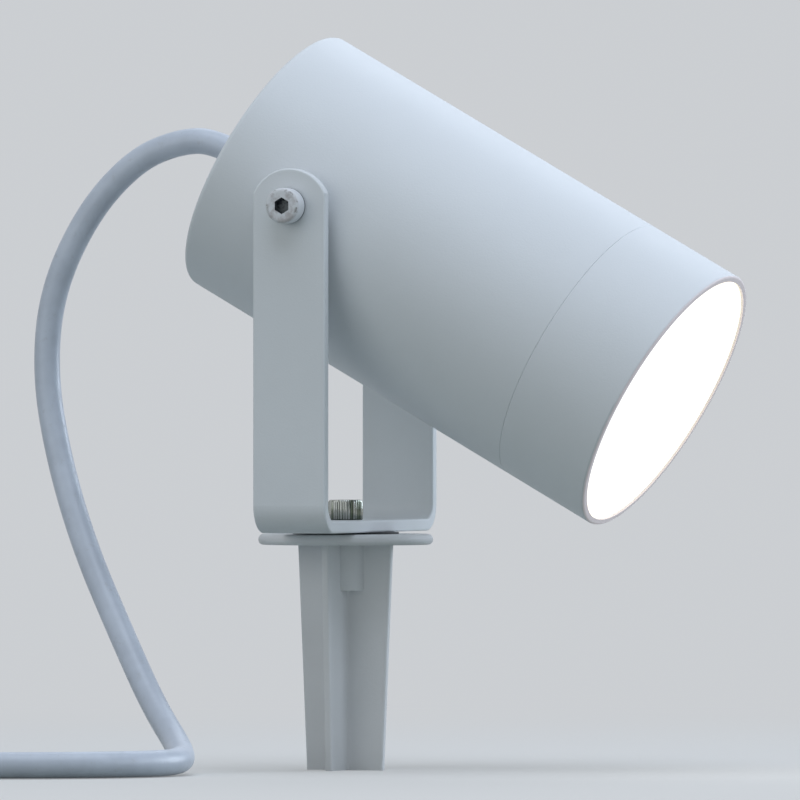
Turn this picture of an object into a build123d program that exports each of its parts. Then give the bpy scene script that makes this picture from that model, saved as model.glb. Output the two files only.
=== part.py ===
from build123d import *

import math
import os

os.makedirs("parts", exist_ok=True)

# A garden spot lamp on a ground spike, in millimetres. The origin is on the spike's axis at
# soil level, +Z is up, +X is the way the lamp shines and Y runs along the tilt axis.

# Head: a round aluminium can with a screwed-on front ring
head_diameter = 59.0
head_length = 101.0
head_behind_pivot = 20.3
head_tilt = 29.7  # degrees that the nose hangs below level
side_wall = 2.5
rear_wall = 3.0
rear_edge_radius = 1.2
ring_length = 21.0
seam_gap = 0.02
seam_chamfer = 0.1

# Ring, glass and their seals
spigot_length = 10.0
spigot_clearance = 0.05
ring_bore_diameter = 48.2
rim_width = 1.35
rim_radius = 0.55
glass_thickness = 3.0
glass_recess = 0.4
glass_clearance = 0.1
glass_edge = 0.3
gasket_thickness = 0.8
gasket_width = 3.0
seal_section = 1.5
seal_groove_depth = 1.5
seal_groove_width = 2.1

# Light engine
optic_depth = 44.0  # front face to the face that carries the LED board
reflector_throat = 15.6
reflector_wall = 1.0
reflector_clearance = 0.2
reflector_bulge = 3.2
led_board_diameter = 31.0
led_board_thickness = 1.6
led_diameter = 14.0
led_height = 1.0
sink_plate = 5.0
sink_clearance = 0.2
sink_ledge = 1.0
sink_fin_count = 12
sink_fin_length = 12.0
sink_fin_thickness = 1.6
lug_diameter = 9.0
lug_length = 8.0
lug_from_axis = 22.3
lug_hole_floor = 1.0
sink_screw_thread = 3.0
sink_screw_length = 11.0
sink_screw_head = 5.5
board_screw_thread = 2.5
board_screw_length = 5.0
board_screw_head = 4.5
small_head_height = 1.5
cross_length = 0.6  # of the head's diameter
cross_width = 0.12
board_screw_from_axis = 12.3

# Driver
cup_diameter = 33.6
cup_wall = 1.2
cup_length = 39.4
cup_rear_hole = 8.0
cup_clearance = 0.2
driver_board_width = 30.6
driver_board_length = 34.0
driver_board_thickness = 1.2
driver_board_end_gap = 0.8
terminal_size = (8.0, 10.0, 8.0)  # along the head, across it and high
terminal_set_back = 3.0
terminal_entry_depth = 3.0
terminal_pitch = 5.0
terminal_entry_height = 2.4
terminal_screw_diameter = 2.8
terminal_screw_depth = 1.5
capacitor_diameter = 8.0
capacitor_length = 14.0
choke_size = (9.0, 9.0, 8.0)
chip_size = (5.0, 4.0, 1.6)
capacitor_place = (19.0, -6.5)  # ahead of the board's rear edge, then across the head
choke_place = (17.0, 6.5)
chip_place = (26.0, 5.0)
wire_diameter = 1.4
wire_from_axis = 11.5
wire_clearance = 0.2
wire_proud = 1.0

# Low cable gland in the rear wall, and the lead
gland_off_axis = 2.0  # towards the head's underside
gland_thread = 10.0
gland_flange_across = 13.0
gland_flange = 3.0
gland_nut_thickness = 3.0
gland_inside = 9.0
gland_bush_wall = 1.25
gland_tail_length = 4.0  # the bush's tapered tail outside the flange
gland_tail_root_wall = 1.9
gland_tail_tip_wall = 0.55
gland_ring_length = 2.5
gland_bevel = 30.0  # degrees
lead_diameter = 5.4
lead_clearance = 0.05
core_diameter = 1.8
core_spacing = 2.6
core_straight = 1.2
core_in_terminal = 1.0
core_before_terminal = 1.7
lead_straight = 8.8
lead_route = [
    (-37.4, 0.0, 130.3),
    (-46.9, 0.0, 126.4),
    (-57.3, 0.0, 115.7),
    (-65.4, 0.0, 99.4),
    (-67.0, 0.0, 82.0),
    (-62.2, -4.0, 64.0),
    (-54.1, -10.0, 46.0),
    (-43.2, -18.0, 29.0),
    (-31.8, -28.0, 13.5),
    (-20.6, -40.0, 4.0),
    (-15.6, -56.0, 2.8),
    (-21.0, -72.0, 2.8),
    (-34.5, -83.4, 2.8),
    (-51.0, -89.2, 2.8),
    (-67.5, -91.0, 3.1),
    (-84.0, -90.4, 3.4),
]
tail_straight = 9.3
tail_route = [
    (-137.2, -38.0, 7.9),
    (-137.8, -27.0, 6.2),
    (-137.3, -16.0, 5.2),
]

# Tilt pivot
pivot_height = 116.5
spot_face_depth = 0.65
spot_face_diameter = 12.4
washer_diameter = 12.0
pivot_boss_diameter = 9.0
pivot_boss_reach = 6.5
screw_thread = 4.0
screw_clearance = 0.1
thread_clearance = 0.02
pivot_screw_length = 12.0
pivot_screw_head = 7.3
pivot_screw_head_height = 4.2
pivot_screw_rounding = 0.7
screw_hexagon = 3.0
screw_socket_depth = 2.0

# U bracket of flat bar
bracket_width = 15.75
bracket_bar = 2.5
bracket_gap = 62.4
bracket_outer_bend = 5.7
bracket_base_height = 49.3
arm_above_pivot = 7.7
arm_end_radius = 8.6
bar_edge_radius = 0.4

# Swivel bolt
swivel_washer_diameter = 22.0
swivel_washer_thickness = 0.4
swivel_bolt_length = 12.0
swivel_bolt_head = 7.2
swivel_bolt_head_height = 4.2
swivel_bolt_rounding = 0.35

# Cast ground spike
flange_diameter = 36.2
flange_thickness = 2.2
flange_edge_radius = 1.0
fin_count = 4
fin_turn = -4.4  # degrees that the fins stand round from the bracket
fin_thickness = 1.6
fin_reach = 10.63
fin_reach_at_point = 4.0
spike_below_soil = 125.0
spike_point_length = 20.0
spike_tip_width = 1.6
fin_edge_radius = 0.45
fin_root_radius = 0.6
hub_diameter = 9.0
hub_length = 9.5
hub_hole_depth = 7.5

# Coil of spare lead, its tie and the low-voltage plug
turn_spacing = 5.5
coil_first_radius = 37.0
coil_turns_per_layer = 3
coil_layers = 2
coil_centre = (-100.0, -53.0)
coil_lift = 0.7  # the tie's band passes under the coil
tie_width = 7.0
tie_band = 0.6
tie_clearance = 0.05
tie_bearing = 62.0
plug_diameter = 10.4
plug_body_length = 18.0
plug_relief_length = 12.0
plug_relief_tip = 7.4
plug_edge_radius = 1.0
barrel_diameter = 5.5
barrel_length = 9.5
barrel_wall = 0.5
barrel_bore = 2.1
barrel_bore_depth = 9.0
barrel_root = 6.0
barrel_root_diameter = 6.6

# Worked out from the sizes above
head_radius = head_diameter / 2
bore_radius = head_radius - side_wall
arm_inner = bracket_gap / 2
arm_outer = arm_inner + bracket_bar
base_top = bracket_base_height + bracket_bar
flange_top = bracket_base_height - swivel_washer_thickness
flange_bottom = flange_top - flange_thickness
screw_radius = screw_thread / 2
lead_radius = lead_diameter / 2

# Places along the head's axis, counted forwards from the pivot
rear = -head_behind_pivot
front = rear + head_length
seam = front - ring_length
glass_front = front - glass_recess
glass_back = glass_front - glass_thickness
glass_seat = glass_back - gasket_thickness
sink_front = front - optic_depth
sink_seat = sink_front - sink_plate
board_front = sink_front + led_board_thickness
board_face = driver_board_thickness / 2
wire_height = board_face + wire_diameter / 2
wire_places = [(wire_height, wire_from_axis), (wire_height, -wire_from_axis)]
gland_outer = rear - gland_flange
gland_inner = gland_outer + gland_flange + gland_inside

tilt = math.radians(head_tilt)
pivot = Vector(0, 0, pivot_height)
nose = Vector(math.cos(tilt), 0, -math.sin(tilt))
belly = Vector(-math.sin(tilt), 0, -math.cos(tilt))
gland_middle = pivot + belly * gland_off_axis


def across_head(ahead):
    """A plane square to the head's axis, with its x towards the belly and its z to the nose."""
    return Plane(origin=pivot + nose * ahead, x_dir=belly, z_dir=nose)


def across_gland(ahead):
    """The same plane, with its origin on the gland's own axis."""
    return Plane(origin=gland_middle + nose * ahead, x_dir=belly, z_dir=nose)


def pivot_plane(side, out):
    """A plane square to the tilt axis, at a distance out from the middle, facing outwards."""
    return Plane(origin=pivot + Vector(0, side * out, 0), x_dir=nose, z_dir=(0, side, 0))


# The plane that holds the head's axis: x to the nose, y to the belly
head_section = Plane(origin=pivot, x_dir=nose, z_dir=nose.cross(belly))
head_axis = Axis(pivot, nose)
gland_section = Plane(origin=gland_middle, x_dir=nose, z_dir=nose.cross(belly))
gland_axis = Axis(gland_middle, nose)


def bend_radii(points):
    """The radius at each corner: 0.45 of the shorter run over the tangent of half the turn."""
    radii = []
    for before, corner, after in zip(points, points[1:], points[2:]):
        coming, going = corner - before, after - corner
        half_turn = math.radians(coming.get_angle(going)) / 2
        radii.append(0.45 * min(coming.length, going.length) / math.tan(half_turn))
    return radii


def round_tube(points, diameter):
    """A round tube along straight runs joined by tangent arcs; returns it and its length."""
    with BuildPart() as run:
        with BuildLine() as route:
            FilletPolyline(*points, radius=bend_radii(points))
        with BuildSketch(Plane(origin=points[0], z_dir=points[1] - points[0])):
            Circle(diameter / 2)
        sweep()
    return run.part, route.wires()[0].length


def socket_screw(length, head, head_height, rounding):
    """A screw with a hexagon socket, its head standing on z = 0 and its shank below."""
    with BuildPart() as screw:
        with BuildSketch():
            Circle(head / 2)
        extrude(amount=head_height)
        fillet(screw.edges().sort_by(Axis.Z)[-1], rounding)
        with BuildSketch(Plane.XY.offset(head_height)):
            RegularPolygon(screw_hexagon / 2, 6, major_radius=False)
        extrude(amount=-screw_socket_depth, mode=Mode.SUBTRACT)
        with BuildSketch():
            Circle(screw_radius)
        extrude(amount=-length)
        chamfer(screw.edges().sort_by(Axis.Z)[0], screw_thread / 10)
    return screw.part


def pan_screw(thread, length, head, head_height):
    """A small pan-head screw, its head standing on z = 0."""
    with BuildPart() as screw:
        with BuildSketch():
            Circle(head / 2)
        extrude(amount=head_height)
        fillet(screw.edges().sort_by(Axis.Z)[-1], head_height / 3)
        with BuildSketch(Plane.XY.offset(head_height)):
            Rectangle(head * cross_length, head * cross_width)
            Rectangle(head * cross_width, head * cross_length)
        extrude(amount=-head_height / 2, mode=Mode.SUBTRACT)
        with BuildSketch():
            Circle(thread / 2)
        extrude(amount=-length)
    return screw.part


# Ground spike: a round flange on four tapering fins, cast in one with a tapped hub

fin_span = 360 / fin_count
with BuildPart() as fin_roots:
    root_reach = fin_thickness / 2 + fin_root_radius
    with BuildSketch(Plane.XY.offset(flange_bottom)):
        Rectangle(2 * root_reach, 2 * root_reach, rotation=fin_turn)
        with PolarLocations(root_reach * math.sqrt(2), fin_count, start_angle=fin_turn + fin_span / 2):
            Circle(fin_root_radius, mode=Mode.SUBTRACT)
    extrude(amount=-(flange_bottom + spike_below_soil))
    with BuildSketch(Plane.XZ):
        with BuildLine():
            Polyline(
                (0, flange_bottom),
                (fin_reach_at_point, flange_bottom),
                (fin_reach_at_point, spike_point_length - spike_below_soil),
                (spike_tip_width / 2, -spike_below_soil),
                (0, -spike_below_soil),
                close=True,
            )
        make_face()
    revolve(axis=Axis.Z, mode=Mode.INTERSECT)

with BuildPart() as ground_spike:
    with BuildSketch(Plane.XY.offset(flange_bottom)):
        Circle(flange_diameter / 2)
    extrude(amount=flange_thickness)
    fillet(ground_spike.edges().filter_by(GeomType.CIRCLE), flange_edge_radius)
    with BuildSketch(Plane.XY.offset(flange_bottom)):
        Circle(hub_diameter / 2)
    extrude(amount=-hub_length)
    for fin in range(fin_count):
        bearing = math.radians(fin_turn + fin * fin_span)
        outward = Vector(math.cos(bearing), math.sin(bearing), 0)
        with BuildSketch(Plane(origin=(0, 0, 0), x_dir=outward, z_dir=outward.cross(Vector(0, 0, 1)))):
            with BuildLine():
                Polyline(
                    (0, flange_bottom),
                    (fin_reach, flange_bottom),
                    (fin_reach_at_point, spike_point_length - spike_below_soil),
                    (spike_tip_width / 2, -spike_below_soil),
                    (0, -spike_below_soil),
                    close=True,
                )
            make_face()
        extrude(amount=fin_thickness / 2, both=True)
    fin_edges = ground_spike.edges().filter_by(
        lambda e: e.geom_type == GeomType.LINE
        and min(math.hypot(p.X, p.Y) for p in (e @ 0, e @ 1)) > fin_reach_at_point - fin_thickness
        and abs((e @ 0).Z - (e @ 1).Z) > fin_reach
    )
    fillet(fin_edges, fin_edge_radius)
    add(fin_roots.part)
    with BuildSketch(Plane.XY.offset(flange_top)):
        Circle(screw_radius + thread_clearance)
    extrude(amount=-(flange_thickness + hub_hole_depth), mode=Mode.SUBTRACT)
ground_spike.part.label = "ground_spike"
export_step(ground_spike.part, "parts/ground_spike.step")

with BuildPart() as swivel_washer:
    with BuildSketch(Plane.XY.offset(flange_top)):
        Circle(swivel_washer_diameter / 2)
        Circle(screw_radius + screw_clearance, mode=Mode.SUBTRACT)
    extrude(amount=swivel_washer_thickness)
swivel_washer.part.label = "swivel_washer"
export_step(swivel_washer.part, "parts/swivel_washer.step")

cap_screw = socket_screw(
    swivel_bolt_length, swivel_bolt_head, swivel_bolt_head_height, swivel_bolt_rounding
)
with BuildPart() as swivel_bolt:
    with Locations((0, 0, base_top)):
        add(cap_screw)
swivel_bolt.part.label = "swivel_bolt"
export_step(swivel_bolt.part, "parts/swivel_bolt.step")

# Bracket: one bar bent to a U, its arms rounded at the top

with BuildPart() as bracket:
    arm_top = pivot_height + arm_above_pivot
    arm_height = arm_top - bracket_base_height
    with BuildSketch(Plane.YZ) as outside:
        with Locations((0, bracket_base_height)):
            Rectangle(2 * arm_outer, arm_height, align=(Align.CENTER, Align.MIN))
        fillet(outside.vertices().group_by(Axis.Y)[0], bracket_outer_bend)
    extrude(amount=bracket_width / 2, both=True)
    with BuildSketch(Plane.YZ) as inside:
        with Locations((0, base_top)):
            Rectangle(bracket_gap, arm_height, align=(Align.CENTER, Align.MIN))
        fillet(inside.vertices().group_by(Axis.Y)[0], bracket_outer_bend - bracket_bar)
    extrude(amount=bracket_width / 2, both=True, mode=Mode.SUBTRACT)
    half_width = bracket_width / 2
    shoulder = arm_top - arm_end_radius + math.sqrt(arm_end_radius**2 - half_width**2)
    with BuildSketch(Plane.XZ):
        with BuildLine():
            Polyline(
                (-half_width, shoulder),
                (-half_width, bracket_base_height),
                (half_width, bracket_base_height),
                (half_width, shoulder),
            )
            ThreePointArc((half_width, shoulder), (0, arm_top), (-half_width, shoulder))
        make_face()
    extrude(amount=2 * arm_outer, both=True, mode=Mode.INTERSECT)
    fillet(bracket.edges(), bar_edge_radius)
    with BuildSketch(Plane.XY.offset(bracket_base_height)):
        Circle(screw_radius + screw_clearance)
    extrude(amount=bracket_bar, mode=Mode.SUBTRACT)
    with BuildSketch(Plane.XZ):
        with Locations((0, pivot_height)):
            Circle(screw_radius + screw_clearance)
    extrude(amount=2 * arm_outer, both=True, mode=Mode.SUBTRACT)
bracket.part.label = "bracket"
export_step(bracket.part, "parts/bracket.step")

# Head housing: a deep-drawn can with pivot bosses, sink lugs and a gland hole

with BuildPart() as head_housing:
    with BuildSketch(across_head(rear)):
        Circle(head_radius)
    extrude(amount=seam - rear)
    fillet(head_housing.edges().sort_by(head_axis)[0], rear_edge_radius)
    chamfer(head_housing.edges().sort_by(head_axis)[-1], seam_chamfer)
    with BuildSketch(across_head(rear + rear_wall)):
        Circle(bore_radius - sink_ledge)
    extrude(amount=seam - rear, mode=Mode.SUBTRACT)
    with BuildSketch(across_head(sink_seat)):
        Circle(bore_radius)
    extrude(amount=seam - sink_seat, mode=Mode.SUBTRACT)
    for side in (-1, 1):
        with BuildSketch(pivot_plane(side, bore_radius - pivot_boss_reach)):
            Circle(pivot_boss_diameter / 2)
        extrude(amount=pivot_boss_reach)
        with BuildSketch(pivot_plane(side, head_radius - spot_face_depth)):
            Circle(spot_face_diameter / 2)
        extrude(amount=head_radius, mode=Mode.SUBTRACT)
        with BuildSketch(pivot_plane(side, 0)):
            Circle(screw_radius + thread_clearance)
        extrude(amount=head_radius, mode=Mode.SUBTRACT)
    with BuildSketch(across_head(sink_seat - lug_length)):
        with Locations((lug_from_axis, 0), (-lug_from_axis, 0)):
            Circle(lug_diameter / 2)
    extrude(amount=lug_length)
    with BuildSketch(across_head(sink_seat)):
        with Locations((lug_from_axis, 0), (-lug_from_axis, 0)):
            Circle(sink_screw_thread / 2 + thread_clearance)
    extrude(amount=-(lug_length - lug_hole_floor), mode=Mode.SUBTRACT)
    with BuildSketch(across_gland(rear)):
        Circle(gland_thread / 2 + lead_clearance)
    extrude(amount=rear_wall, mode=Mode.SUBTRACT)
head_housing.part.label = "head_housing"
export_step(head_housing.part, "parts/head_housing.step")

# Front ring: screwed into the can, it holds the glass in a rebate

with BuildPart() as front_ring:
    spigot_radius = bore_radius - spigot_clearance
    with BuildSketch(across_head(seam + seam_gap)):
        Circle(head_radius)
    extrude(amount=front - seam - seam_gap)
    fillet(front_ring.edges().sort_by(head_axis)[-1], rim_radius)
    chamfer(front_ring.edges().sort_by(head_axis)[0], seam_chamfer)
    with BuildSketch(across_head(seam + seam_gap)):
        Circle(spigot_radius)
    extrude(amount=-(spigot_length + seam_gap))
    with BuildSketch(across_head(seam - spigot_length)):
        Circle(ring_bore_diameter / 2)
    extrude(amount=head_length, mode=Mode.SUBTRACT)
    with BuildSketch(across_head(glass_seat)):
        Circle(head_radius - rim_width)
    extrude(amount=head_length, mode=Mode.SUBTRACT)
    with BuildSketch(across_head(seam - spigot_length / 2)):
        Circle(head_radius)
        Circle(spigot_radius - seal_groove_depth, mode=Mode.SUBTRACT)
    extrude(amount=-seal_groove_width, mode=Mode.SUBTRACT)
front_ring.part.label = "front_ring"
export_step(front_ring.part, "parts/front_ring.step")

with BuildPart() as ring_seal:
    groove_radius = bore_radius - spigot_clearance - seal_groove_depth
    groove_middle = seam - (spigot_length + seal_groove_width) / 2
    with BuildSketch(head_section):
        with Locations((groove_middle, (bore_radius + groove_radius) / 2)):
            Circle(seal_section / 2)
    revolve(axis=head_axis)
ring_seal.part.label = "ring_seal"
export_step(ring_seal.part, "parts/ring_seal.step")

glass_radius = head_radius - rim_width - glass_clearance
with BuildPart() as glass_gasket:
    with BuildSketch(across_head(glass_seat)):
        Circle(glass_radius)
        Circle(glass_radius - gasket_width, mode=Mode.SUBTRACT)
    extrude(amount=gasket_thickness)
glass_gasket.part.label = "glass_gasket"
export_step(glass_gasket.part, "parts/glass_gasket.step")

with BuildPart() as front_glass:
    with BuildSketch(across_head(glass_back)):
        Circle(glass_radius)
    extrude(amount=glass_thickness)
    chamfer(front_glass.edges(), glass_edge)
front_glass.part.label = "front_glass"
export_step(front_glass.part, "parts/front_glass.step")

# Light engine: a finned sink on the can's ledge, the LED board on it, and the reflector

with BuildPart() as heat_sink:
    sink_radius = bore_radius - sink_clearance
    with BuildSketch(across_head(sink_seat)):
        Circle(sink_radius)
    extrude(amount=sink_plate)
    with BuildSketch(across_head(sink_seat)):
        fin_inner = cup_diameter / 2 + cup_clearance
        fin_outer = bore_radius - sink_ledge - sink_clearance
        fin_middle = (fin_inner + fin_outer) / 2
        with PolarLocations(fin_middle, sink_fin_count, start_angle=180 / sink_fin_count):
            Rectangle(fin_outer - fin_inner, sink_fin_thickness)
    extrude(amount=-sink_fin_length)
    with BuildSketch(across_head(sink_seat)):
        with Locations((lug_from_axis, 0), (-lug_from_axis, 0)):
            Circle(sink_screw_thread / 2 + screw_clearance)
        with Locations((board_screw_from_axis, 0), (-board_screw_from_axis, 0)):
            Circle(board_screw_thread / 2 + thread_clearance)
        with Locations(*wire_places):
            Circle(wire_diameter / 2 + wire_clearance)
    extrude(amount=sink_plate, mode=Mode.SUBTRACT)
heat_sink.part.label = "heat_sink"
export_step(heat_sink.part, "parts/heat_sink.step")

with BuildPart() as led_board:
    with BuildSketch(across_head(sink_front)):
        Circle(led_board_diameter / 2)
        with Locations((board_screw_from_axis, 0), (-board_screw_from_axis, 0)):
            Circle(board_screw_thread / 2 + screw_clearance, mode=Mode.SUBTRACT)
        with Locations(*wire_places):
            Circle(wire_diameter / 2 + wire_clearance, mode=Mode.SUBTRACT)
    extrude(amount=led_board_thickness)
led_board.part.label = "led_board"
export_step(led_board.part, "parts/led_board.step")

with BuildPart() as led_chip:
    with BuildSketch(across_head(board_front)):
        Circle(led_diameter / 2)
    extrude(amount=led_height)
led_chip.part.label = "led_chip"
export_step(led_chip.part, "parts/led_chip.step")

# A bowl of spun sheet from the LED to the ring's bore
with BuildPart() as reflector:
    mouth = ring_bore_diameter / 2 - reflector_clearance
    throat = reflector_throat / 2
    mouth_place = glass_seat - reflector_clearance
    waist = ((board_front + mouth_place) / 2, (throat + mouth) / 2 + reflector_bulge)
    inner_waist = (waist[0], waist[1] - reflector_wall)
    with BuildSketch(head_section):
        with BuildLine():
            Line((board_front, throat), (board_front, throat + reflector_wall))
            ThreePointArc((board_front, throat + reflector_wall), waist, (mouth_place, mouth))
            Line((mouth_place, mouth), (mouth_place, mouth - reflector_wall))
            ThreePointArc(
                (mouth_place, mouth - reflector_wall), inner_waist, (board_front, throat)
            )
        make_face()
    revolve(axis=head_axis)
reflector.part.label = "reflector"
export_step(reflector.part, "parts/reflector.step")

board_screw = pan_screw(board_screw_thread, board_screw_length, board_screw_head, small_head_height)
with BuildPart() as board_screws:
    for side in (-1, 1):
        place = across_head(board_front).location * Location((side * board_screw_from_axis, 0, 0))
        add(place * board_screw)
board_screws.part.label = "board_screws"
export_step(board_screws.part, "parts/board_screws.step")

sink_screw = pan_screw(sink_screw_thread, sink_screw_length, sink_screw_head, small_head_height)
with BuildPart() as sink_screws:
    for side in (-1, 1):
        place = across_head(sink_front).location * Location((side * lug_from_axis, 0, 0))
        add(place * sink_screw)
sink_screws.part.label = "sink_screws"
export_step(sink_screws.part, "parts/sink_screws.step")

# Driver: an insulating cup held between the sink's fins, with the board and its parts

cup_rear = sink_seat - cup_length
driver_rear = cup_rear + cup_wall + driver_board_end_gap
driver_front = driver_rear + driver_board_length

with BuildPart() as driver_cup:
    with BuildSketch(across_head(cup_rear)):
        Circle(cup_diameter / 2)
    extrude(amount=cup_length)
    with BuildSketch(across_head(cup_rear + cup_wall)):
        Circle(cup_diameter / 2 - cup_wall)
    extrude(amount=cup_length, mode=Mode.SUBTRACT)
    with BuildSketch(across_gland(cup_rear)):
        Circle(cup_rear_hole / 2)
    extrude(amount=cup_wall, mode=Mode.SUBTRACT)
driver_cup.part.label = "driver_cup"
export_step(driver_cup.part, "parts/driver_cup.step")

# x to the nose, y along the tilt axis, z to the belly
board_plane = Plane(origin=pivot, x_dir=nose, z_dir=belly)

with BuildPart() as driver_board:
    with BuildSketch(board_plane.offset(-board_face)):
        with Locations(((driver_rear + driver_front) / 2, 0)):
            Rectangle(driver_board_length, driver_board_width)
    extrude(amount=driver_board_thickness)
driver_board.part.label = "driver_board"
export_step(driver_board.part, "parts/driver_board.step")

with BuildPart() as driver_parts:
    for place, size in ((choke_place, choke_size), (chip_place, chip_size)):
        with BuildSketch(board_plane.offset(board_face)):
            with Locations((driver_rear + place[0], place[1])):
                Rectangle(size[0], size[1])
        extrude(amount=size[2])
    capacitor_rear = driver_rear + capacitor_place[0] - capacitor_length / 2
    with BuildSketch(across_head(capacitor_rear)):
        with Locations((board_face + capacitor_diameter / 2, -capacitor_place[1])):
            Circle(capacitor_diameter / 2)
    extrude(amount=capacitor_length)
driver_parts.part.label = "driver_parts"
export_step(driver_parts.part, "parts/driver_parts.step")

terminal_rear = driver_rear + terminal_set_back
with BuildPart() as terminal_block:
    with BuildSketch(board_plane.offset(board_face)):
        with Locations((terminal_rear + terminal_size[0] / 2, 0)):
            Rectangle(terminal_size[0], terminal_size[1])
    extrude(amount=terminal_size[2])
    with BuildSketch(board_plane.offset(board_face + terminal_size[2])):
        with Locations((terminal_rear + terminal_size[0] / 2, 0)):
            with GridLocations(1, terminal_pitch, 1, 2):
                Circle(terminal_screw_diameter / 2)
    extrude(amount=-terminal_screw_depth, mode=Mode.SUBTRACT)
    with BuildSketch(across_head(terminal_rear)):
        with Locations((board_face + terminal_entry_height, 0)):
            with GridLocations(1, terminal_pitch, 1, 2):
                Circle(core_diameter / 2 + lead_clearance)
    extrude(amount=terminal_entry_depth, mode=Mode.SUBTRACT)
terminal_block.part.label = "terminal_block"
export_step(terminal_block.part, "parts/terminal_block.step")

with BuildPart() as led_wires:
    wire_start = driver_rear + chip_place[0]
    with BuildSketch(across_head(wire_start)):
        with Locations(*wire_places):
            Circle(wire_diameter / 2)
    extrude(amount=board_front + wire_proud - wire_start)
led_wires.part.label = "led_wires"
export_step(led_wires.part, "parts/led_wires.step")

# Cable gland: a low flange outside, a rubber bush squeezed from inside, and a nut

with BuildPart() as cable_gland:
    with BuildSketch(across_gland(gland_outer)):
        RegularPolygon(gland_flange_across / 2, 6, major_radius=False)
    extrude(amount=gland_flange)
    with BuildSketch(across_gland(gland_outer)):
        Circle(gland_flange_across / 2)
    extrude(amount=gland_flange, taper=-gland_bevel, mode=Mode.INTERSECT)
    with BuildSketch(across_gland(rear)):
        Circle(gland_thread / 2)
    extrude(amount=gland_inside)
    with BuildSketch(across_gland(gland_outer)):
        Circle(lead_radius + gland_bush_wall + lead_clearance)
    extrude(amount=gland_flange + gland_inside, mode=Mode.SUBTRACT)
cable_gland.part.label = "cable_gland"
export_step(cable_gland.part, "parts/cable_gland.step")

# Half the bush's section, its bore on the lead and its tail tapering outwards
with BuildPart() as gland_bush:
    bush_bore = lead_radius + lead_clearance
    bush_front = gland_inner - gland_ring_length
    with BuildSketch(gland_section):
        with BuildLine():
            Polyline(
                (bush_front, bush_bore),
                (bush_front, lead_radius + gland_bush_wall),
                (gland_outer, lead_radius + gland_bush_wall),
                (gland_outer, lead_radius + gland_tail_root_wall),
                (gland_outer - gland_tail_length, lead_radius + gland_tail_tip_wall),
                (gland_outer - gland_tail_length, bush_bore),
                close=True,
            )
        make_face()
    revolve(axis=gland_axis)
gland_bush.part.label = "gland_bush"
export_step(gland_bush.part, "parts/gland_bush.step")

with BuildPart() as gland_ring:
    with BuildSketch(across_gland(gland_inner)):
        Circle(lead_radius + gland_bush_wall)
        Circle(lead_radius + lead_clearance, mode=Mode.SUBTRACT)
    extrude(amount=-gland_ring_length)
gland_ring.part.label = "gland_ring"
export_step(gland_ring.part, "parts/gland_ring.step")

with BuildPart() as gland_nut:
    with BuildSketch(across_gland(rear + rear_wall)):
        RegularPolygon(gland_flange_across / 2, 6, major_radius=False)
        Circle(gland_thread / 2 + thread_clearance, mode=Mode.SUBTRACT)
    extrude(amount=gland_nut_thickness)
gland_nut.part.label = "gland_nut"
export_step(gland_nut.part, "parts/gland_nut.step")

with BuildPart() as lead_entry:
    with BuildSketch(across_gland(gland_outer)):
        Circle(lead_radius)
    extrude(amount=gland_inner - gland_outer)
lead_entry.part.label = "lead_entry"
export_step(lead_entry.part, "parts/lead_entry.step")

cores = []
for side in (-1, 1):
    core_height = board_face + terminal_entry_height
    across = side * terminal_pitch / 2
    core_points = [
        board_plane.from_local_coords((gland_inner, side * core_spacing / 2, gland_off_axis)),
        board_plane.from_local_coords((gland_inner + core_straight, side * core_spacing / 2, gland_off_axis)),
        board_plane.from_local_coords((terminal_rear - core_before_terminal, across, core_height)),
        board_plane.from_local_coords((terminal_rear + core_in_terminal, across, core_height)),
    ]
    cores.append(round_tube([Vector(*p) for p in core_points], core_diameter)[0])
with BuildPart() as lead_cores:
    add(cores)
lead_cores.part.label = "lead_cores"
export_step(lead_cores.part, "parts/lead_cores.step")

# Tilt pivot: on each side a screw through the arm and a nylon washer into the can

with BuildPart() as pivot_washers:
    for side in (-1, 1):
        with BuildSketch(pivot_plane(side, head_radius - spot_face_depth)):
            Circle(washer_diameter / 2)
            Circle(screw_radius + screw_clearance, mode=Mode.SUBTRACT)
        extrude(amount=arm_inner - head_radius + spot_face_depth)
pivot_washers.part.label = "pivot_washers"
export_step(pivot_washers.part, "parts/pivot_washers.step")

pivot_screw = socket_screw(
    pivot_screw_length, pivot_screw_head, pivot_screw_head_height, pivot_screw_rounding
)
with BuildPart() as pivot_screws:
    for side in (-1, 1):
        add(pivot_plane(side, arm_outer).location * pivot_screw)
pivot_screws.part.label = "pivot_screws"
export_step(pivot_screws.part, "parts/pivot_screws.step")

# Lead: out of the gland, round in a loop to the soil and along it to a tied coil

lead_exit = gland_middle + nose * gland_outer
lead_points = [lead_exit, lead_exit - nose * lead_straight] + [Vector(*p) for p in lead_route]
lead_tube, lead_length = round_tube(lead_points, lead_diameter)
with BuildPart() as lead:
    add(lead_tube)
lead.part.label = "lead"
export_step(lead.part, "parts/lead.step")

coil_outer = coil_first_radius + lead_radius
coil_inner = coil_first_radius - coil_turns_per_layer * turn_spacing - lead_radius
coil_top = coil_lift + (coil_layers - 1) * turn_spacing + lead_diameter
with BuildPart() as lead_coil:
    with BuildSketch(Plane.XY.offset(coil_lift)):
        with Locations(coil_centre):
            Circle(coil_outer)
            Circle(coil_inner, mode=Mode.SUBTRACT)
    extrude(amount=coil_top - coil_lift)
lead_coil.part.label = "lead_coil"
export_step(lead_coil.part, "parts/lead_coil.step")

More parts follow.
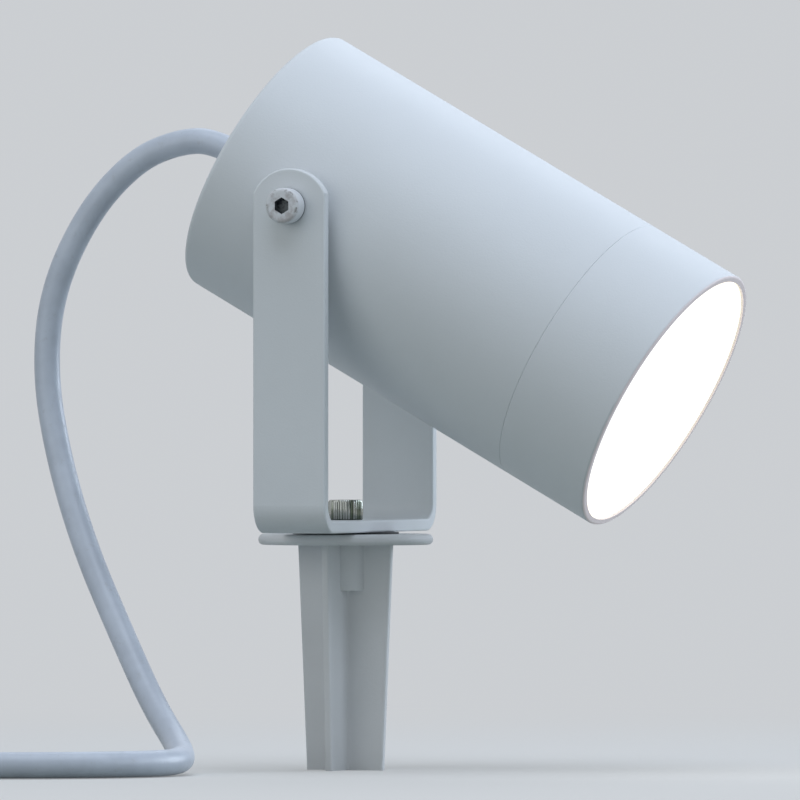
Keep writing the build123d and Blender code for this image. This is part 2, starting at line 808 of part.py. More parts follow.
tie_direction = Vector(math.cos(math.radians(tie_bearing)), math.sin(math.radians(tie_bearing)), 0)
tie_plane = Plane(
    origin=(*coil_centre, 0), x_dir=tie_direction, z_dir=tie_direction.cross(Vector(0, 0, 1))
)
tie_near = math.sqrt(coil_inner**2 - (tie_width / 2) ** 2) - tie_clearance
tie_far = coil_outer + tie_clearance
tie_middle = ((tie_near + tie_far) / 2, (coil_lift + coil_top) / 2)
tie_height = coil_top - coil_lift + 2 * tie_clearance
with BuildPart() as coil_tie:
    with BuildSketch(tie_plane):
        with Locations(tie_middle):
            Rectangle(tie_far - tie_near + 2 * tie_band, tie_height + 2 * tie_band)
            Rectangle(tie_far - tie_near, tie_height, mode=Mode.SUBTRACT)
    extrude(amount=tie_width / 2, both=True)
coil_tie.part.label = "coil_tie"
export_step(coil_tie.part, "parts/coil_tie.step")

# Plug: a moulded body with a barrel contact, lying beside the coil

plug_start = Vector(tail_route[-1][0], tail_route[-1][1] + tail_straight, plug_diameter / 2)
tail_points = [Vector(*p) for p in tail_route] + [plug_start]
tail_tube, tail_length = round_tube(tail_points, lead_diameter)
with BuildPart() as lead_tail:
    add(tail_tube)
lead_tail.part.label = "lead_tail"
export_step(lead_tail.part, "parts/lead_tail.step")

plug_plane = Plane(origin=plug_start, x_dir=(1, 0, 0), z_dir=(0, 1, 0))
plug_face = plug_relief_length + plug_body_length
with BuildPart() as plug_body:
    with BuildSketch(plug_plane):
        Circle(plug_relief_tip / 2)
    with BuildSketch(plug_plane.offset(plug_relief_length)):
        Circle(plug_diameter / 2 - plug_edge_radius)
    loft()
    with BuildSketch(plug_plane.offset(plug_relief_length)):
        Circle(plug_diameter / 2)
    extrude(amount=plug_body_length)
    fillet(plug_body.edges().group_by(Axis.Y)[-1], plug_edge_radius)
    with BuildSketch(plug_plane.offset(plug_face)):
        Circle(barrel_root_diameter / 2)
    extrude(amount=-barrel_root, mode=Mode.SUBTRACT)
plug_body.part.label = "plug_body"
export_step(plug_body.part, "parts/plug_body.step")

with BuildPart() as plug_barrel:
    with BuildSketch(plug_plane.offset(plug_face - barrel_root)):
        Circle(barrel_root_diameter / 2)
    extrude(amount=barrel_root)
    with BuildSketch(plug_plane.offset(plug_face)):
        Circle(barrel_diameter / 2)
    extrude(amount=barrel_length)
    with BuildSketch(plug_plane.offset(plug_face - barrel_root)):
        Circle(barrel_diameter / 2 - barrel_wall)
    extrude(amount=barrel_root + barrel_length, mode=Mode.SUBTRACT)
plug_barrel.part.label = "plug_barrel"
export_step(plug_barrel.part, "parts/plug_barrel.step")

with BuildPart() as plug_liner:
    with BuildSketch(plug_plane.offset(plug_face - barrel_root)):
        Circle(barrel_diameter / 2 - barrel_wall)
    extrude(amount=barrel_root + barrel_length)
    with BuildSketch(plug_plane.offset(plug_face + barrel_length)):
        Circle(barrel_bore / 2)
    extrude(amount=-barrel_bore_depth, mode=Mode.SUBTRACT)
plug_liner.part.label = "plug_liner"
export_step(plug_liner.part, "parts/plug_liner.step")

section = math.pi * lead_radius**2
for name, points, solid, length in (
    ("lead", lead_points, lead_tube, lead_length),
    ("tail", tail_points, tail_tube, tail_length),
):
    radii = ", ".join(f"{radius:.1f}" for radius in bend_radii(points))
    share = solid.volume / section / length
    print(f"{name}: length {length:.1f}, radii {radii}, volume / (section x length) {share:.4f}")
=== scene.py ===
import math

import bpy
import numpy as np
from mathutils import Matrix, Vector


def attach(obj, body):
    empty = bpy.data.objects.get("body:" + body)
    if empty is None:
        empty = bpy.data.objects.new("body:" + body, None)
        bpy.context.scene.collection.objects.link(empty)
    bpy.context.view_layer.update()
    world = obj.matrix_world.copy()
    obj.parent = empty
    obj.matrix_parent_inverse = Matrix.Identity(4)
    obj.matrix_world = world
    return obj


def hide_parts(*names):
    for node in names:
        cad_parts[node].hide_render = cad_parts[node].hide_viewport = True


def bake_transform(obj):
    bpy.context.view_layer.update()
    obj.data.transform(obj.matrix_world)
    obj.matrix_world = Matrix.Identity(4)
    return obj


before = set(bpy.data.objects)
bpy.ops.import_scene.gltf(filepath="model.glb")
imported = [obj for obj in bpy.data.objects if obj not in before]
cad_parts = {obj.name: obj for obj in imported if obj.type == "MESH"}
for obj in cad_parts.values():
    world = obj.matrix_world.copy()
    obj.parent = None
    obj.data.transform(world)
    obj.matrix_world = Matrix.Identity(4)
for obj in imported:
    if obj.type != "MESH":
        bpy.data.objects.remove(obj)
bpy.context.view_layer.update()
print("frame loaded:", len(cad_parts), "nodes")


# Frame values: the origin is at soil level on the spike's axis, in metres
lamp = {
    "pivotHeight": 0.1165,
    "tilt": math.radians(29.7),
    "frontAhead": 0.0807,
}
pivot = Vector((0, 0, lamp["pivotHeight"]))
nose = Vector((math.cos(lamp["tilt"]), 0, -math.sin(lamp["tilt"])))


# Camera
cameraView = {
    "azimuth": math.radians(20.107),
    "elevation": math.radians(0.145),
    "distance": 3.0,
    "side": 0.01125,
    "height": 0.07665,
    "lens": 651.6,
}


def makeCamera(view):
    az, el = view["azimuth"], view["elevation"]
    back = Vector((math.sin(az) * math.cos(el), -math.cos(az) * math.cos(el), math.sin(el)))
    right = Vector((math.cos(az), math.sin(az), 0))
    up = back.cross(right)
    data = bpy.data.cameras.new("viewCamera")
    data.sensor_width = 36
    data.lens = view["lens"]
    data.clip_start, data.clip_end = 0.05, 200
    camera = bpy.data.objects.new("viewCamera", data)
    bpy.context.scene.collection.objects.link(camera)
    camera.location = back * view["distance"] + right * view["side"] + up * view["height"]
    camera.rotation_mode = "QUATERNION"
    camera.rotation_quaternion = (-back).to_track_quat("-Z", "Y")
    bpy.context.scene.camera = camera


makeCamera(cameraView)
print("camera set")


# Node groups shared by the materials

def newGroup(name, inputs, outputs):
    group = bpy.data.node_groups.new(name, "ShaderNodeTree")
    for label, kind, value in inputs:
        socket = group.interface.new_socket(name=label, in_out="INPUT", socket_type=kind)
        if value is not None:
            socket.default_value = value
    for label, kind in outputs:
        group.interface.new_socket(name=label, in_out="OUTPUT", socket_type=kind)
    nodes = group.nodes
    return group, nodes, group.links, nodes.new("NodeGroupInput"), nodes.new("NodeGroupOutput")


def addMath(nodes, links, operation, first, second=None, clamp=False):
    node = nodes.new("ShaderNodeMath")
    node.operation = operation
    node.use_clamp = clamp
    for place, value in enumerate((first, second)):
        if value is None:
            continue
        if isinstance(value, (int, float)):
            node.inputs[place].default_value = value
        else:
            links.new(value, node.inputs[place])
    return node.outputs[0]


def addNoise(nodes, links, vector, scale, detail=2.0, roughness=0.5):
    # scale is a number, or a socket inside a group
    node = nodes.new("ShaderNodeTexNoise")
    node.inputs["Detail"].default_value = detail
    node.inputs["Roughness"].default_value = roughness
    if isinstance(scale, (int, float)):
        node.inputs["Scale"].default_value = scale
    else:
        links.new(scale, node.inputs["Scale"])
    links.new(vector, node.inputs["Vector"])
    return node.outputs["Fac"]


def addRamp(nodes, links, value, low, high, outLow=0.0, outHigh=1.0):
    # A smooth step from outLow at low to outHigh at high
    node = nodes.new("ShaderNodeMapRange")
    node.clamp = True
    node.interpolation_type = "SMOOTHSTEP"
    for label, number in (("From Min", low), ("From Max", high), ("To Min", outLow), ("To Max", outHigh)):
        node.inputs[label].default_value = number
    links.new(value, node.inputs["Value"])
    return node.outputs["Result"]


def addMix(nodes, links, factor, first, second):
    # A colour mix: the factor is a socket, and each colour is red, green and blue or a socket
    node = nodes.new("ShaderNodeMix")
    node.data_type = "RGBA"
    links.new(factor, node.inputs[0])
    for socket, value in ((node.inputs[6], first), (node.inputs[7], second)):
        if isinstance(value, tuple):
            socket.default_value = value + (1,)
        else:
            links.new(value, socket)
    return node.outputs[2]


def addAxis(nodes, links, place, centre, axis):
    # The shared group, set on the line through centre along axis: its outputs are Distance and Along
    node = nodes.new("ShaderNodeGroup")
    node.node_tree = axisGroup
    links.new(place, node.inputs["Vector"])
    node.inputs["Centre"].default_value = centre
    node.inputs["Axis"].default_value = axis
    return node.outputs


def buildPowderGroup():
    # Powder coat: a fine pebble height, soft clouding of the colour, and tiny dark specks
    group, nodes, links, source, target = newGroup(
        "powderCoat",
        [("Vector", "NodeSocketVector", None), ("Base Color", "NodeSocketColor", (0.8, 0.8, 0.8, 1)),
         ("Shade Color", "NodeSocketColor", (0.7, 0.7, 0.7, 1)), ("Grain", "NodeSocketFloat", 1800.0),
         ("Clouding", "NodeSocketFloat", 0.5), ("Roughness", "NodeSocketFloat", 0.5)],
        [("Color", "NodeSocketColor"), ("Roughness", "NodeSocketFloat"), ("Height", "NodeSocketFloat")],
    )
    vector = source.outputs["Vector"]
    pebble = addNoise(nodes, links, vector, source.outputs["Grain"], 3.0, 0.6)
    wide = addNoise(nodes, links, vector, 38.0, 3.0, 0.55)
    medium = addNoise(nodes, links, vector, 260.0, 2.0, 0.5)
    cloud = addMath(nodes, links, "MULTIPLY", addRamp(nodes, links, wide, 0.35, 0.7), source.outputs["Clouding"])
    speck = addRamp(nodes, links, pebble, 0.68, 0.8, 0.0, 0.35)
    shade = addMath(nodes, links, "ADD", cloud, speck, clamp=True)
    links.new(addMix(nodes, links, shade, source.outputs["Base Color"], source.outputs["Shade Color"]),
              target.inputs["Color"])
    rough = addMath(nodes, links, "MULTIPLY_ADD", addMath(nodes, links, "SUBTRACT", medium, 0.5), 0.18)
    links.new(source.outputs["Roughness"], rough.node.inputs[2])
    links.new(rough, target.inputs["Roughness"])
    height = addMath(nodes, links, "MULTIPLY_ADD", medium, 0.6)
    links.new(pebble, height.node.inputs[2])
    links.new(height, target.inputs["Height"])
    return group


def buildAxisGroup():
    # Distance from a line through Centre along Axis, in metres, for wear that runs round a screw
    group, nodes, links, source, target = newGroup(
        "axisDistance",
        [("Vector", "NodeSocketVector", None), ("Centre", "NodeSocketVector", (0, 0, 0)),
         ("Axis", "NodeSocketVector", (0, 1, 0))],
        [("Distance", "NodeSocketFloat"), ("Along", "NodeSocketFloat")],
    )
    offset = nodes.new("ShaderNodeVectorMath")
    offset.operation = "SUBTRACT"
    links.new(source.outputs["Vector"], offset.inputs[0])
    links.new(source.outputs["Centre"], offset.inputs[1])
    cross = nodes.new("ShaderNodeVectorMath")
    cross.operation = "CROSS_PRODUCT"
    links.new(offset.outputs[0], cross.inputs[0])
    links.new(source.outputs["Axis"], cross.inputs[1])
    length = nodes.new("ShaderNodeVectorMath")
    length.operation = "LENGTH"
    links.new(cross.outputs[0], length.inputs[0])
    dot = nodes.new("ShaderNodeVectorMath")
    dot.operation = "DOT_PRODUCT"
    links.new(offset.outputs[0], dot.inputs[0])
    links.new(source.outputs["Axis"], dot.inputs[1])
    links.new(length.outputs["Value"], target.inputs["Distance"])
    links.new(dot.outputs["Value"], target.inputs["Along"])
    return group


powderGroup = buildPowderGroup()
axisGroup = buildAxisGroup()
print("node groups built")


# Materials

def startMaterial(name):
    material = bpy.data.materials.new(name)
    material.use_nodes = True
    nodes, links = material.node_tree.nodes, material.node_tree.links
    shader = nodes["Principled BSDF"]
    place = nodes.new("ShaderNodeTexCoord").outputs["Object"]
    return material, nodes, links, shader, place


def addBump(nodes, links, shader, height, distance):
    bump = nodes.new("ShaderNodeBump")
    bump.inputs["Strength"].default_value = 1.0
    bump.inputs["Distance"].default_value = distance
    links.new(height, bump.inputs["Height"])
    links.new(bump.outputs["Normal"], shader.inputs["Normal"])


def powderMaterial(name, values):
    material, nodes, links, shader, place = startMaterial(name)
    coat = nodes.new("ShaderNodeGroup")
    coat.node_tree = powderGroup
    links.new(place, coat.inputs["Vector"])
    coat.inputs["Base Color"].default_value = values["color"] + (1,)
    coat.inputs["Shade Color"].default_value = values["shade"] + (1,)
    coat.inputs["Grain"].default_value = values["grain"]
    coat.inputs["Clouding"].default_value = values["clouding"]
    coat.inputs["Roughness"].default_value = values["roughness"]
    links.new(coat.outputs["Color"], shader.inputs["Base Color"])
    links.new(coat.outputs["Roughness"], shader.inputs["Roughness"])
    shader.inputs["Specular IOR Level"].default_value = values["gloss"]
    addBump(nodes, links, shader, coat.outputs["Height"], values["bump"])
    return material


paint = {
    "head": {"color": (0.795, 0.82, 0.85), "shade": (0.73, 0.755, 0.785), "grain": 2600.0, "clouding": 0.22,
             "roughness": 0.52, "gloss": 0.36, "bump": 0.00003},
    "bracket": {"color": (0.785, 0.81, 0.835), "shade": (0.715, 0.74, 0.765), "grain": 2400.0, "clouding": 0.3,
                "roughness": 0.5, "gloss": 0.4, "bump": 0.00003},
    "spike": {"color": (0.80, 0.805, 0.82), "shade": (0.72, 0.725, 0.74), "grain": 1500.0, "clouding": 0.55,
              "roughness": 0.55, "gloss": 0.36, "bump": 0.00005},
}
headPaint = powderMaterial("headPaint", paint["head"])
# The rim's warm colour and faint emission are painted glow of the lamp's light; the rim is no lamp of its own
rimPaintedGlow = {"color": (0.76, 0.69, 0.70), "depth": 0.0004, "glow": (1.0, 0.86, 0.87), "paintedGlowStrength": 0.10}


def ringMaterial(values, rim):
    # The head's paint, with a warmer tint and a faint emission on the rim round the glass: painted glow of the lamp's
    # light on the rim
    material = powderMaterial("ringPaintWithPaintedGlow", values)
    nodes, links = material.node_tree.nodes, material.node_tree.links
    shader = nodes["Principled BSDF"]
    place = nodes["Texture Coordinate"].outputs["Object"]
    along = addAxis(nodes, links, place, pivot, nose)["Along"]
    front = lamp["frontAhead"]
    onRim = addRamp(nodes, links, along, front - rim["depth"], front - rim["depth"] / 3)
    painted = shader.inputs["Base Color"].links[0].from_socket
    # painted glow: warm tint and emission on the rim's face
    links.new(addMix(nodes, links, onRim, painted, rim["color"]), shader.inputs["Base Color"])
    links.new(addMix(nodes, links, onRim, (0, 0, 0), rim["glow"]), shader.inputs["Emission Color"])
    shader.inputs["Emission Strength"].default_value = rim["paintedGlowStrength"]
    return material


bracketPaint = powderMaterial("bracketPaint", paint["bracket"])
spikePaint = powderMaterial("spikePaint", paint["spike"])


plainLook = {"cloudScale": 220.0, "shade": 0.82, "spread": 0.06, "grain": 2200.0, "bump": 0.00002}


def plainMaterial(name, values):
    # One finish with slight clouding and a fine surface, for the smaller pieces
    material, nodes, links, shader, place = startMaterial(name)
    cloud = addNoise(nodes, links, place, values.get("cloudScale", plainLook["cloudScale"]), 3.0, 0.6)
    shade = tuple(part * plainLook["shade"] for part in values["color"])
    links.new(addMix(nodes, links, cloud, values["color"], shade), shader.inputs["Base Color"])
    smooth, rough = values["roughness"] - plainLook["spread"], values["roughness"] + plainLook["spread"]
    links.new(addRamp(nodes, links, cloud, 0.3, 0.7, smooth, rough), shader.inputs["Roughness"])
    shader.inputs["Metallic"].default_value = values.get("metallic", 0.0)
    fine = addNoise(nodes, links, place, plainLook["grain"], 2.0, 0.5)
    addBump(nodes, links, shader, fine, plainLook["bump"])
    return material


finishes = {
    "sealRubber": {"color": (0.03, 0.03, 0.032), "roughness": 0.6, "nodes": ["ring_seal", "glass_gasket"]},
    "bushRubber": {"color": (0.50, 0.53, 0.57), "roughness": 0.55, "nodes": ["gland_bush"]},
    "plainAluminium": {"color": (0.78, 0.78, 0.79), "roughness": 0.34, "metallic": 1.0,
                       "nodes": ["heat_sink"]},
    "spunMetal": {"color": (0.90, 0.90, 0.90), "roughness": 0.12, "metallic": 1.0, "nodes": ["reflector"]},
    "boardWhite": {"color": (0.86, 0.86, 0.84), "roughness": 0.35, "nodes": ["led_board"]},
    "zincSteel": {"color": (0.60, 0.60, 0.58), "roughness": 0.36, "metallic": 1.0,
                  "nodes": ["board_screws", "sink_screws"]},
    "cupPlastic": {"color": (0.80, 0.80, 0.78), "roughness": 0.5, "nodes": ["driver_cup"]},
    "boardGreen": {"color": (0.05, 0.22, 0.09), "roughness": 0.3, "nodes": ["driver_board"]},
    "caseBlack": {"color": (0.04, 0.04, 0.045), "roughness": 0.5, "nodes": ["driver_parts"]},
    "terminalGreen": {"color": (0.06, 0.33, 0.15), "roughness": 0.45, "nodes": ["terminal_block"]},
    "wireRed": {"color": (0.45, 0.03, 0.02), "roughness": 0.35, "nodes": ["led_wires"]},
    "coreBrown": {"color": (0.22, 0.10, 0.05), "roughness": 0.35, "nodes": ["lead_cores"]},
    "glandNylon": {"color": (0.74, 0.77, 0.81), "roughness": 0.42,
                   "nodes": ["cable_gland", "gland_ring", "gland_nut"]},
    "washerNylon": {"color": (0.66, 0.66, 0.64), "roughness": 0.45, "nodes": ["pivot_washers"]},
    # the swivel washer's near-black colour is painted shade for the shadowed slit between the bracket's base and the
    # flange
    "washerPaintedShade": {"color": (0.035, 0.037, 0.04), "roughness": 0.7, "nodes": ["swivel_washer"]},
    "plugPlastic": {"color": (0.035, 0.035, 0.038), "roughness": 0.45, "cloudScale": 300.0,
                    "nodes": ["plug_body", "plug_liner", "coil_tie"]},
    "plugMetal": {"color": (0.72, 0.71, 0.68), "roughness": 0.22, "metallic": 1.0, "nodes": ["plug_barrel"]},
}


def dress(node, material):
    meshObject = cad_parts[node]
    if not meshObject.material_slots:
        meshObject.data.materials.append(material)
    for materialSlot in meshObject.material_slots:
        materialSlot.material = material


for finishName, finishValues in finishes.items():
    finish = plainMaterial(finishName, finishValues)
    for node in finishValues["nodes"]:
        dress(node, finish)

dress("head_housing", headPaint)
dress("front_ring", ringMaterial(paint["head"], rimPaintedGlow))
dress("bracket", bracketPaint)
dress("ground_spike", spikePaint)


ledGel = {
    "color": (0.92, 0.72, 0.20), "shade": (0.85, 0.6, 0.12), "dotScale": 900.0, "roughness": 0.2,
    "light": (1.0, 0.93, 0.82), "strength": 4.0,
}


def ledMaterial(values):
    # Yellow gel over the LED, lit from within
    material, nodes, links, shader, place = startMaterial("ledGel")
    dots = addNoise(nodes, links, place, values["dotScale"], 2.0, 0.5)
    links.new(addMix(nodes, links, dots, values["color"], values["shade"]), shader.inputs["Base Color"])
    shader.inputs["Roughness"].default_value = values["roughness"]
    shader.inputs["Emission Color"].default_value = values["light"] + (1,)
    shader.inputs["Emission Strength"].default_value = values["strength"]
    return material


dress("led_chip", ledMaterial(ledGel))

glow = {
    "color": (1.0, 0.985, 0.95), "edge": (1.0, 0.86, 0.66), "strength": 1.3, "radius": 0.0281, "edgeWidth": 0.0015,
    "glass": (0.50, 0.50, 0.49), "haze": (0.46, 0.46, 0.45), "hazeScale": 60.0, "roughness": 0.12,
}


def glassMaterial(values):
    # Lit opal glass: even light that warms a little in the last millimetre at the edge
    material, nodes, links, shader, place = startMaterial("litGlass")
    distance = addAxis(nodes, links, place, pivot, nose)["Distance"]
    rim = addRamp(nodes, links, distance, values["radius"] - values["edgeWidth"], values["radius"])
    haze = addNoise(nodes, links, place, values["hazeScale"], 2.0, 0.5)
    warm = addMix(nodes, links, rim, values["color"], values["edge"])
    links.new(warm, shader.inputs["Emission Color"])
    shader.inputs["Emission Strength"].default_value = values["strength"]
    links.new(addMix(nodes, links, haze, values["glass"], values["haze"]), shader.inputs["Base Color"])
    shader.inputs["Roughness"].default_value = values["roughness"]
    return material


dress("front_glass", glassMaterial(glow))
print("materials on the carried-over nodes")


# Screws: white paint with soft worn patches on the face, chipped at the face's edge, painted shade on the socket's
# walls with patches of grey dirt, and a painted shade line round the base
screwWear = {
    "paint": (0.75, 0.765, 0.795), "rubbed": (0.50, 0.48, 0.485), "chipped": (0.17, 0.155, 0.14),
    # the socket's wall colour and the base line colour are painted shade
    "socketPaintedShade": (0.010, 0.016, 0.026), "socketDirt": (0.15, 0.17, 0.18), "basePaintedShade": (0.09, 0.105, 0.13),
    "face": 0.0379, "base": 0.0337, "radius": 0.00365, "socketRadius": 0.0018,
    "patchScale": 620.0, "chipScale": 480.0, "dirtScale": 1100.0, "roughness": 0.42, "wornRoughness": 0.6,
    "chipBump": 0.00005,
}


def screwMaterial(values):
    material, nodes, links, shader, place = startMaterial("screwPaint")
    axis = addAxis(nodes, links, place, pivot, (0, 1, 0))
    distance = axis["Distance"]
    outward = addMath(nodes, links, "ABSOLUTE", axis["Along"])
    patches = addNoise(nodes, links, place, values["patchScale"], 3.0, 0.55)
    chips = addNoise(nodes, links, place, values["chipScale"], 4.0, 0.6)
    onFace = addRamp(nodes, links, outward, values["face"] - 0.0006, values["face"] - 0.0001)
    worn = addMath(nodes, links, "MULTIPLY", onFace, addRamp(nodes, links, patches, 0.37, 0.66))
    color = addMix(nodes, links, worn, values["paint"], values["rubbed"])
    atEdge = addRamp(nodes, links, distance, values["radius"] - 0.0009, values["radius"] - 0.0003)
    chipped = addMath(nodes, links, "MULTIPLY", atEdge, addRamp(nodes, links, chips, 0.54, 0.64, 0.0, 0.8))
    chipped = addMath(nodes, links, "MULTIPLY", chipped, onFace)
    color = addMix(nodes, links, chipped, color, values["chipped"])
    # a dark band round the screw's side where it meets the arm: painted contact shade
    baseShadeMask = addRamp(nodes, links, outward, values["base"] + 0.0003, values["base"] + 0.0006, 1.0, 0.0)
    color = addMix(nodes, links, baseShadeMask, color, values["basePaintedShade"])
    # the socket's near-black walls are painted shade in the hollow, mixed with patches of grey dirt
    sunk = addRamp(nodes, links, outward, values["face"] - 0.0003, values["face"] - 0.0001, 1.0, 0.0)
    inner = addRamp(nodes, links, distance, values["socketRadius"], values["socketRadius"] + 0.0001, 1.0, 0.0)
    inSocket = addMath(nodes, links, "MULTIPLY", sunk, inner)
    dirty = addRamp(nodes, links, addNoise(nodes, links, place, values["dirtScale"], 3.0, 0.6), 0.38, 0.60)
    hollowDarkening = addMix(nodes, links, dirty, values["socketPaintedShade"], values["socketDirt"])
    links.new(addMix(nodes, links, inSocket, color, hollowDarkening), shader.inputs["Base Color"])
    rough = addRamp(nodes, links, worn, 0.0, 1.0, values["roughness"], values["wornRoughness"])
    links.new(rough, shader.inputs["Roughness"])
    addBump(nodes, links, shader, addMath(nodes, links, "MULTIPLY_ADD", chipped, -0.7), values["chipBump"])
    return material


dress("pivot_screws", screwMaterial(screwWear))

# the groove colour is painted shade in the knurl's grooves
steel = {
    "bright": (0.47, 0.48, 0.45), "darkPaintedReflection": (0.10, 0.125, 0.08), "groove": (0.03, 0.04, 0.028),
    "stretch": 0.08, "fineScale": 5200.0, "cloudScale": 500.0, "roughness": 0.10, "grainRoughness": 0.2,
    "bump": 0.00001,
}


def stainlessMaterial(values, size):
    # Bright steel, duller in clouds, with painted shade darkening the knurl's grooves
    material, nodes, links, shader, place = startMaterial("stainless")
    streak = nodes.new("ShaderNodeMapping")
    streak.inputs["Scale"].default_value = (1, 1, values["stretch"])
    links.new(place, streak.inputs["Vector"])
    fine = addNoise(nodes, links, streak.outputs[0], values["fineScale"], 2.0, 0.5)
    cloud = addRamp(nodes, links, addNoise(nodes, links, streak.outputs[0], values["cloudScale"], 3.0, 0.6), 0.4, 0.6)
    # the dull colour is dark and greenish: painted reflection of dark surroundings, laid in vertical clouds
    metal = addMix(nodes, links, cloud, values["bright"], values["darkPaintedReflection"])
    axis = addAxis(nodes, links, place, (0, 0, 0), (0, 0, 1))
    # the knurl's grooves are darkened almost to black: painted shade in the creases
    crest, bottom = size["head"] - 0.00003, size["head"] - size["toothDepth"]
    grooveShadeMask = addRamp(nodes, links, axis["Distance"], bottom, crest, 0.9, 0.0)
    top = size["foot"] + size["headHeight"]
    below = addRamp(nodes, links, axis["Along"], top - 0.0007, top - 0.0003, 1.0, 0.0)  # none on the top edge
    hollowDarkening = addMath(nodes, links, "MULTIPLY", grooveShadeMask, below)
    links.new(addMix(nodes, links, hollowDarkening, metal, values["groove"]), shader.inputs["Base Color"])
    rough = addRamp(nodes, links, fine, 0.3, 0.7, values["roughness"], values["grainRoughness"])
    links.new(rough, shader.inputs["Roughness"])
    shader.inputs["Metallic"].default_value = 1.0
    addBump(nodes, links, shader, fine, values["bump"])
    return material


print("screws dressed")


# Lead: one smooth line from the gland to the plug, in metres
lead = {
    "diameter": 0.0054,
    "straight": 0.0088,
    "route": [
        (-0.0374, 0.0, 0.1303), (-0.0469, 0.0, 0.1264), (-0.0573, 0.0, 0.1157), (-0.0654, 0.0, 0.0994),
        (-0.0670, 0.0, 0.0820), (-0.0622, -0.0040, 0.0640), (-0.0541, -0.0100, 0.0460),
        (-0.0432, -0.0180, 0.0290), (-0.0318, -0.0280, 0.0135), (-0.0206, -0.0400, 0.0040),
        (-0.0156, -0.0560, 0.0028), (-0.0210, -0.0720, 0.0028), (-0.0345, -0.0834, 0.0028),
        (-0.0510, -0.0892, 0.0028), (-0.0675, -0.0910, 0.0031), (-0.0840, -0.0907, 0.0034),
    ],
    "tail": [
        (-0.1372, -0.0380, 0.0079), (-0.1378, -0.0270, 0.0062), (-0.1373, -0.0160, 0.0052),
        (-0.1373, -0.0067, 0.0052),
    ],
    "exit": (-0.02123, 0.0, 0.12631),
    "sides": 24,
}
coil = {
    "centre": (-0.100, -0.053),
    "outerRadius": 0.037,
    "spacing": 0.0055,
    "turnsPerLayer": 3,
    "climbTurns": 0.25,
    "low": 0.0034,
    "high": 0.0089,
    "pointsPerTurn": 16,
}


def coilPoints(values):
    # Clockwise seen from above: the radius falls by one spacing a turn, the line climbs a layer at the
    # inside over a quarter turn, and the radius grows again; points stand out a little past the turns
    # because the smooth line passes inside them
    inward = values["turnsPerLayer"]
    total = 2 * inward + values["climbTurns"]
    steps = int(round(total * values["pointsPerTurn"]))
    turn = np.linspace(0, total, steps + 1)
    inner = values["outerRadius"] - inward * values["spacing"]
    goingIn = values["outerRadius"] - values["spacing"] * turn
    goingOut = inner + values["spacing"] * (turn - inward - values["climbTurns"])
    radius = np.where(turn < inward, goingIn, np.maximum(inner, goingOut))
    climb = np.clip((turn - inward) / values["climbTurns"], 0, 1)
    climb = climb * climb * (3 - 2 * climb)
    height = values["low"] + (values["high"] - values["low"]) * climb
    radius = radius / math.cos(math.pi / values["pointsPerTurn"])
    bearing = -math.pi / 2 - 2 * math.pi * turn
    return np.column_stack((
        values["centre"][0] + radius * np.cos(bearing), values["centre"][1] + radius * np.sin(bearing), height,
    ))


def routeLine(points, name):
    # The points through a smooth spline of order 3, read back as a fine line
    curve = bpy.data.curves.new(name, "CURVE")
    curve.dimensions = "3D"
    curve.resolution_u = 10
    spline = curve.splines.new("NURBS")
    spline.points.add(len(points) - 1)
    for target, point in zip(spline.points, points):
        target.co = (*point, 1)
    spline.order_u = 3
    spline.use_endpoint_u = True
    holder = bpy.data.objects.new(name, curve)
    line = bpy.data.meshes.new_from_object(holder)
    place = np.empty(len(line.vertices) * 3)
    line.vertices.foreach_get("co", place)
    bpy.data.objects.remove(holder)
    return place.reshape(-1, 3)


def alongLine(line):
    # At each point, two directions square to the line, carried along without twist
    tangent = np.gradient(line, axis=0)
    tangent /= np.linalg.norm(tangent, axis=1)[:, None]
    side = np.zeros_like(line)
    current = np.cross(tangent[0], (0.0, 1.0, 0.0))
    for place in range(len(line)):
        current = current - tangent[place] * (current @ tangent[place])
        current = current / np.linalg.norm(current)
        side[place] = current
    return side, np.cross(tangent, side)


def gridMesh(name, grid, capEnds=False):
    # grid[i, j] is a point at step i along and step j around; the last step around joins the first
    rows, columns = grid.shape[:2]
    index = np.arange(rows * columns).reshape(rows, columns)
    following = np.roll(index, -1, axis=1)
    quads = np.stack((index[:-1], following[:-1], following[1:], index[1:]), axis=-1).reshape(-1, 4)
    faces = quads.tolist()
    if capEnds:
        faces.append(index[0, ::-1].tolist())
        faces.append(index[-1].tolist())
    mesh = bpy.data.meshes.new(name)
    mesh.from_pydata(grid.reshape(-1, 3).tolist(), [], faces)
    mesh.polygons.foreach_set("use_smooth", np.arange(len(faces)) < len(quads))  # flat on the ends
    mesh.update()
    piece = bpy.data.objects.new(name, mesh)
    bpy.context.scene.collection.objects.link(piece)
    return piece


def tubeAlong(name, line, radius, sides):
    # A circle of the given radius carried along the line
    side, other = alongLine(line)
    around = np.linspace(0, 2 * math.pi, sides, endpoint=False)
    ring = side[:, None, :] * np.cos(around)[None, :, None] + other[:, None, :] * np.sin(around)[None, :, None]
    return gridMesh(name, line[:, None, :] + ring * radius, capEnds=True)


# Swivel bolt: a stainless socket screw with a knurled head
bolt = {
    "foot": 0.0518,
    "shank": 0.0020,
    "reach": 0.0120,
    "head": 0.0036,
    "headHeight": 0.0042,
    "socket": 0.0015,
    "socketDepth": 0.0020,
    "teeth": 40,
    "toothDepth": 0.00012,
    "stepsPerTooth": 6,
}


